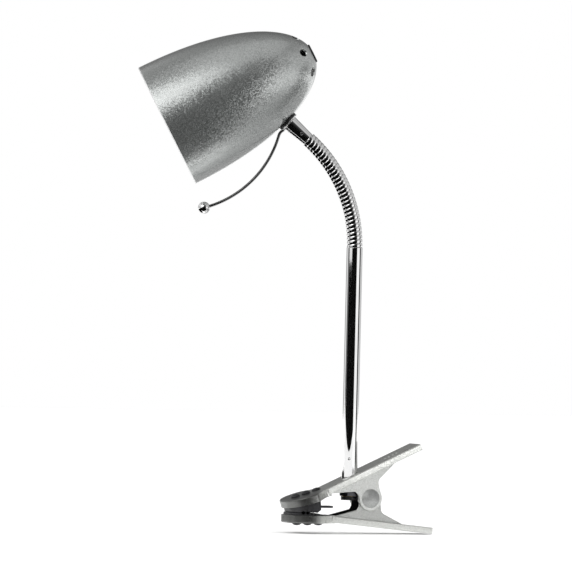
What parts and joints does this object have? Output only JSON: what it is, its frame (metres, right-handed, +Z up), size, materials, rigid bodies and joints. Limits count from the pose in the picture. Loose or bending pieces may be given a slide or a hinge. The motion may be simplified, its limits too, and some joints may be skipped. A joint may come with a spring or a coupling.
{
  "type": "clip on reading lamp",
  "caption": "Reading lamp with a spring clamp, a chrome stem and gooseneck, and a silver bullet shade with vent holes, a push switch and a ball-ended aiming wire.",
  "frame": {"origin": "middle of the grip between the two jaw pads", "axes": "+X from the jaws towards the handles, +Y along the clamp's pivot pin, +Z up along the stem"},
  "size_m": [0.2253, 0.1194, 0.3745],
  "materials": {
    "silver_paint": "fine metallic silver paint, satin, on the clamp",
    "shade_paint": "coarse metallic silver flake paint, semi-gloss, on the shade",
    "chrome": "bright chrome plate",
    "steel": "plain zinc-plated steel",
    "spring_steel": "blackened steel on the springs, the spring washer and the lock nut",
    "brass": "plain brass",
    "nickel": "nickel-plated lamp cap",
    "rubber": "dark grey moulded rubber",
    "black_plastic": "black moulded plastic",
    "lead_sleeve": "white sleeve on the internal lead",
    "bulb_glass": "opal white glass"
  },
  "bodies": {
    "upper_lever": {"upper_lever": "silver_paint", "upper_pad": "rubber", "pivot_pin": "steel", "pivot_cap_near": "silver_paint", "pivot_cap_far": "silver_paint", "torsion_spring": "spring_steel", "stem_socket": "black_plastic"},
    "lower_lever": {"lower_lever": "silver_paint", "lower_pad": "rubber"},
    "stem": {"stem_tube": "chrome", "threaded_nipple": "brass", "spring_washer": "spring_steel", "lock_nut": "spring_steel", "cord_bush": "black_plastic", "neck_plug": "steel", "neck_coil_1": "chrome"},
    "neck_2": {"neck_coil_2": "chrome"},
    "neck_3": {"neck_coil_3": "chrome"},
    "neck_4": {"neck_coil_4": "chrome"},
    "neck_5": {"neck_coil_5": "chrome"},
    "neck_6": {"neck_coil_6": "chrome"},
    "neck_7": {"neck_coil_7": "chrome"},
    "neck_8": {"neck_coil_8": "chrome"},
    "neck_9": {"neck_coil_9": "chrome"},
    "neck_10": {"neck_coil_10": "chrome"},
    "head": {"neck_coil_11": "chrome", "ferrule": "chrome", "ferrule_screw": "chrome", "mount_bolt": "brass", "handle_wire": "chrome", "handle_ball": "chrome", "saddle_washer": "black_plastic", "shade": "shade_paint", "inner_washer": "steel", "inner_nut": "steel", "holder_body": "black_plastic", "socket_shell": "brass", "centre_contact": "brass", "bulb_cap": "nickel", "bulb_contact": "black_plastic", "bulb_glass": "bulb_glass", "switch_bezel": "black_plastic", "switch_spring": "spring_steel", "supply_lead": "lead_sleeve"},
    "switch": {"switch_button": "black_plastic"}
  },
  "joints": [
    {"name": "clamp_squeeze", "type": "hinge", "parent": "upper_lever", "child": "lower_lever", "pos_m": [0.049, 0, 0.011], "axis": [0, -1, 0], "range_deg": [0, 44], "stiffness_Nm_per_rad": 0.9, "springref_deg": -34.38, "deforming": ["torsion_spring"]},
    {"name": "stem_swivel", "type": "hinge", "parent": "upper_lever", "child": "stem", "pos_m": [0.0353, 0, 0.018], "axis": [0, 0, 1], "range_deg": [-150, 150]},
    {"name": "neck_bend_1", "type": "hinge", "parent": "stem", "child": "neck_2", "pos_m": [0.03521, 0.00004, 0.20353], "axis": [-0.3746, -0.9272, 0], "range_deg": [-12, 10]},
    {"name": "neck_sway_1", "type": "hinge", "parent": "neck_2", "child": "neck_3", "pos_m": [0.03449, 0.00033, 0.21254], "axis": [0.9194, -0.3715, 0.129], "range_deg": [-10, 10]},
    {"name": "neck_bend_2", "type": "hinge", "parent": "neck_3", "child": "neck_4", "pos_m": [0.03305, 0.00091, 0.22146], "axis": [-0.3746, -0.9272, 0], "range_deg": [-12, 10]},
    {"name": "neck_sway_2", "type": "hinge", "parent": "neck_4", "child": "neck_5", "pos_m": [0.0309, 0.00178, 0.23021], "axis": [0.8853, -0.3577, 0.2972], "range_deg": [-10, 10]},
    {"name": "neck_bend_3", "type": "hinge", "parent": "neck_5", "child": "neck_6", "pos_m": [0.02806, 0.00292, 0.23872], "axis": [-0.3746, -0.9272, 0], "range_deg": [-12, 10]},
    {"name": "neck_sway_3", "type": "hinge", "parent": "neck_6", "child": "neck_7", "pos_m": [0.02456, 0.00434, 0.24695], "axis": [0.8249, -0.3333, 0.4566], "range_deg": [-10, 10]},
    {"name": "neck_bend_4", "type": "hinge", "parent": "neck_7", "child": "neck_8", "pos_m": [0.02041, 0.00602, 0.25481], "axis": [-0.3746, -0.9272, 0], "range_deg": [-12, 10]},
    {"name": "neck_sway_4", "type": "hinge", "parent": "neck_8", "child": "neck_9", "pos_m": [0.01564, 0.00794, 0.26226], "axis": [0.74, -0.299, 0.6025], "range_deg": [-10, 10]},
    {"name": "neck_bend_5", "type": "hinge", "parent": "neck_9", "child": "neck_10", "pos_m": [0.0103, 0.0101, 0.26925], "axis": [-0.3746, -0.9272, 0], "range_deg": [-12, 10]},
    {"name": "neck_sway_5", "type": "hinge", "parent": "neck_10", "child": "head", "pos_m": [0.00443, 0.01247, 0.2757], "axis": [0.6332, -0.2558, 0.7305], "range_deg": [-10, 10]},
    {"name": "switch_press", "type": "slide", "parent": "head", "child": "switch", "axis": [-0.8202, 0.3314, -0.4664], "range_m": [0, 0.0018], "stiffness_N_per_m": 600, "springref_m": -0.001, "deforming": ["switch_spring"]}
  ],
  "couplings": [
    {"joint": "neck_bend_2", "follows": "neck_bend_1", "ratio": 1},
    {"joint": "neck_sway_2", "follows": "neck_sway_1", "ratio": 1},
    {"joint": "neck_bend_3", "follows": "neck_bend_1", "ratio": 1},
    {"joint": "neck_sway_3", "follows": "neck_sway_1", "ratio": 1},
    {"joint": "neck_bend_4", "follows": "neck_bend_1", "ratio": 1},
    {"joint": "neck_sway_4", "follows": "neck_sway_1", "ratio": 1},
    {"joint": "neck_bend_5", "follows": "neck_bend_1", "ratio": 1},
    {"joint": "neck_sway_5", "follows": "neck_sway_1", "ratio": 1}
  ]
}
